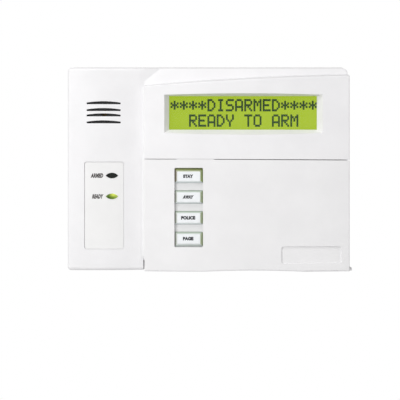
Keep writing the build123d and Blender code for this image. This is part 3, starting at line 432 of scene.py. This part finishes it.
NODE_MATERIALS = {
    "front_case": case_plastic,
    "rear_case": rear_plastic,
    "door": door_plastic,
    "door_label": door_paper,
    "display_window": window_clear,
    "lcd_frame": steel_dull,
    "lcd_glass": display_lit,
    "lcd_backlight": backlight_glow,
    "lcd_contact_strips": rubber_black,
    "lcd_board": board_green,
    "lcd_header": black_plastic,
    "lcd_screws": steel_zinc,
    "main_board": board_green,
    "board_screws": steel_zinc,
    "microcontroller": chip_epoxy,
    "crystal": can_bright,
    "capacitors": capacitor_sleeve,
    "regulator": chip_epoxy,
    "terminal_block": terminal_green,
    "terminal_screws": steel_zinc,
    "sounder_housing": black_plastic,
    "sounder_lid": black_plastic,
    "sounder_disc": brass_disc,
    "sounder_gasket": foam_black,
    "led_armed": led_red,
    "led_ready": led_green,
    "armed_lens": lens_dark,
    "ready_lens": lens_lit,
    "status_label": label_print,
    "key_mat": mat_silicone,
    "key_backlights": led_clear,
    "contact_pads": carbon_ink,
    "key_stay": stay_key_painted_light,
    "key_away": away_key_painted_light,
    "key_police": away_key_painted_light,
    "key_page": page_key_painted_light,
}
NUMBER_KEYS = {f"key_{digit}": digit for digit in "1234567890"} | {"key_star": "*", "key_hash": "#"}
NODE_MATERIALS |= {node: number_key for node in NUMBER_KEYS}

for name, shader in NODE_MATERIALS.items():
    paint(nodes[name].data, shader)


# ---------------------------------------------------------------- printing
RAY_START_Y = -0.2  # well in front of the keypad
PRINT_FRONT, PRINT_BACK = -0.05 * MM, 0.03 * MM  # the letters' front and back, from the surface under them

FUNCTION_KEYS = {  # word, its width in mm, and its slant
    "key_stay": ("STAY", 6.5, 0.0),
    "key_away": ("AWAY", 7.3, 0.35),
    "key_police": ("POLICE", 9.2, 0.0),
    "key_page": ("PAGE", 6.8, 0.0),
}
FUNCTION_HEIGHT = 2.3 * MM
FUNCTION_SHIFT_X, FUNCTION_SHIFT_Z = -0.35 * MM, 0.1 * MM  # the words' place from the middle of a key's face
FUNCTION_WEIGHT = 0.075
FACE_MIDDLE = 4.9 * MM  # from a key's inner end, as the first and last keys reach further at their outer end

NUMBER_HEIGHT, STAR_HEIGHT = 3.4 * MM, 2.6 * MM
NUMBER_WIDTH = 2.3 * MM
SIGN_WIDTHS = {"1": 1.3 * MM, "*": 2.6 * MM, "#": 3.0 * MM}
NUMBER_WEIGHT = 0.02

STATUS_WORDS = {  # word, its width in mm, and its gap to the lens
    "armed_lens": ("ARMED", 8.3, 0.2),
    "ready_lens": ("READY", 7.6, 0.0),
}
STATUS_HEIGHT = 2.9 * MM
STATUS_SLANT, STATUS_WEIGHT = 0.3, 0.06


def surface_of(node):
    mesh = nodes[node].data
    return BVHTree.FromPolygons([v.co for v in mesh.vertices], [p.vertices for p in mesh.polygons])


def solid_text(name, text, slant, weight):
    """Letters as a closed mesh one unit thick, made bolder and spaced wider by their weight."""
    curve = bpy.data.curves.new(name, "FONT")
    curve.body = text
    curve.shear = slant
    curve.offset = weight
    curve.space_character = 1.0 + weight
    curve.extrude = 0.5
    curve.resolution_u = 4
    source = bpy.data.objects.new(name + "_curve", curve)
    scene.collection.objects.link(source)
    bpy.context.view_layer.update()
    mesh = bpy.data.meshes.new_from_object(source.evaluated_get(bpy.context.evaluated_depsgraph_get()))
    bpy.data.objects.remove(source)
    return mesh


def finish_mesh(bm, mesh):
    """Writes the faces to the mesh, with their normals outwards."""
    bmesh.ops.recalc_face_normals(bm, faces=bm.faces)
    bm.to_mesh(mesh)
    bm.free()


def lettering(name, text, centre, size, node, body, shader, slant=0.0, weight=0.0):
    """Solid printed letters, fitted to a width and height and laid on a node's surface."""
    mesh = solid_text(name, text, slant, weight)
    obj = bpy.data.objects.new(name, mesh)
    scene.collection.objects.link(obj)
    xs = [v.co.x for v in mesh.vertices]
    ys = [v.co.y for v in mesh.vertices]
    fit_x, fit_y = size[0] / (max(xs) - min(xs)), size[1] / (max(ys) - min(ys))
    middle_x, middle_y = (max(xs) + min(xs)) / 2, (max(ys) + min(ys)) / 2
    surface = surface_of(node)
    for v in mesh.vertices:
        x = centre[0] + (v.co.x - middle_x) * fit_x
        z = centre[1] + (v.co.y - middle_y) * fit_y
        hit = surface.ray_cast(Vector((x, RAY_START_Y, z)), Vector((0, 1, 0)))[0]
        v.co = (x, hit.y + (PRINT_FRONT if v.co.z > 0 else PRINT_BACK), z)
    bm = bmesh.new()
    bm.from_mesh(mesh)
    bmesh.ops.remove_doubles(bm, verts=bm.verts, dist=0.1 * UM)
    finish_mesh(bm, mesh)
    paint(mesh, shader)
    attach(obj, body)
    return obj


for node, (word, width, slant) in FUNCTION_KEYS.items():
    low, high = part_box(node)
    face_z = high.z - FACE_MIDDLE if node == "key_page" else low.z + FACE_MIDDLE
    centre = ((low.x + high.x) / 2 + FUNCTION_SHIFT_X, face_z + FUNCTION_SHIFT_Z)
    size = (width * MM, FUNCTION_HEIGHT)
    piece = lettering(f"print_{node}", word, centre, size, node, node, print_black, slant, FUNCTION_WEIGHT)

for node, sign in NUMBER_KEYS.items():
    low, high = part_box(node)
    centre = ((low.x + high.x) / 2, (low.z + high.z) / 2)
    size = (SIGN_WIDTHS.get(sign, NUMBER_WIDTH), STAR_HEIGHT if sign == "*" else NUMBER_HEIGHT)
    piece = lettering(f"print_{node}", sign, centre, size, node, node, print_black, weight=NUMBER_WEIGHT)

for node, (word, width, gap) in STATUS_WORDS.items():
    low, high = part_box(node)
    centre = (low.x - (gap + width / 2) * MM, (low.z + high.z) / 2)
    size = (width * MM, STATUS_HEIGHT)
    style = (print_brown, STATUS_SLANT, STATUS_WEIGHT)
    piece = lettering(f"print_{node}", word, centre, size, "status_label", "housing", *style)

# ---------------------------------------------------------------- display characters
MESSAGE = ("****DISARMED****", "  READY TO ARM  ")
GLYPHS = {
    "*": ("     ", "  #  ", "# # #", " ### ", "# # #", "  #  ", "     "),
    "D": ("###  ", "#  # ", "#   #", "#   #", "#   #", "#  # ", "###  "),
    "I": (" ### ", "  #  ", "  #  ", "  #  ", "  #  ", "  #  ", " ### "),
    "S": (" ####", "#    ", "#    ", " ### ", "    #", "    #", "#### "),
    "A": (" ### ", "#   #", "#   #", "#   #", "#####", "#   #", "#   #"),
    "R": ("#### ", "#   #", "#   #", "#### ", "# #  ", "#  # ", "#   #"),
    "M": ("#   #", "## ##", "# # #", "# # #", "#   #", "#   #", "#   #"),
    "E": ("#####", "#    ", "#    ", "#### ", "#    ", "#    ", "#####"),
    "Y": ("#   #", "#   #", "#   #", " # # ", "  #  ", "  #  ", "  #  "),
    "T": ("#####", "  #  ", "  #  ", "  #  ", "  #  ", "  #  ", "  #  "),
    "O": (" ### ", "#   #", "#   #", "#   #", "#   #", "#   #", " ### "),
}
SUBDIVIDE = 4  # cells of the fine grid to one dot
TEXT_INSET_X, TEXT_INSET_Z = 3.0 * MM, 3.85 * MM  # from the window's left and top edges
LAYER_DEPTHS = (0.01 * MM, 0.06 * MM)  # the layer's back and front, from the display glass


def dark_dots():
    """Column and row of every dot that the message darkens."""
    for line_number, line in enumerate(MESSAGE):
        for column, letter in enumerate(line):
            for row, dots in enumerate(GLYPHS.get(letter, ())):
                for n, dot in enumerate(dots):
                    if dot == "#":
                        yield column * COLUMN_STEP + n, line_number * LINE_STEP + row


def dark_cells():
    """Cells of the fine grid that the message darkens. A dot is one cell wider and taller than its pitch."""
    size = range(SUBDIVIDE + 1)
    return {(x * SUBDIVIDE + i, y * SUBDIVIDE + j) for x, y in dark_dots() for i in size for j in size}


def display_characters():
    """The dark dots of the message as one thin closed layer, just in front of the display glass."""
    cells = dark_cells()
    glass_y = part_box("lcd_glass")[0].y
    low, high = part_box("display_window")
    text_left, text_top = low.x + TEXT_INSET_X, high.z - TEXT_INSET_Z
    bm = bmesh.new()
    corners = {}

    def corner(i, j, layer):
        if (i, j, layer) not in corners:
            x = text_left + (i - 0.5) * DOT_X / SUBDIVIDE
            z = text_top - (j - 0.5) * DOT_Z / SUBDIVIDE
            corners[i, j, layer] = bm.verts.new((x, glass_y - LAYER_DEPTHS[layer], z))
        return corners[i, j, layer]

    for i, j in sorted(cells):
        around = ((i, j), (i + 1, j), (i + 1, j + 1), (i, j + 1))
        neighbours = ((i, j - 1), (i + 1, j), (i, j + 1), (i - 1, j))
        for layer in (0, 1):
            bm.faces.new([corner(*point, layer) for point in around])
        for n, neighbour in enumerate(neighbours):
            if neighbour not in cells:
                start, end = around[n], around[(n + 1) % 4]
                bm.faces.new([corner(*start, 0), corner(*end, 0), corner(*end, 1), corner(*start, 1)])
    mesh = bpy.data.meshes.new("lcd_characters")
    finish_mesh(bm, mesh)
    obj = bpy.data.objects.new("lcd_characters", mesh)
    scene.collection.objects.link(obj)
    paint(mesh, character_ink)
    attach(obj, "housing")


display_characters()

# ---------------------------------------------------------------- floor
FLOOR_Z, FLOOR_RADIUS = -0.55, 1.35


def pale_floor():
    bm = bmesh.new()
    bmesh.ops.create_circle(bm, cap_ends=True, segments=96, radius=FLOOR_RADIUS)
    mesh = bpy.data.meshes.new("floor")
    bm.to_mesh(mesh)
    bm.free()
    paint(mesh, moulded("floor", (0.86, 0.86, 0.86), 0.7, grain=100 * UM, grain_scale=60.0, tint=0.004))
    floor = bpy.data.objects.new("floor", mesh)
    floor.location = (0, 0, FLOOR_Z)
    scene.collection.objects.link(floor)
    return floor


pale_floor()
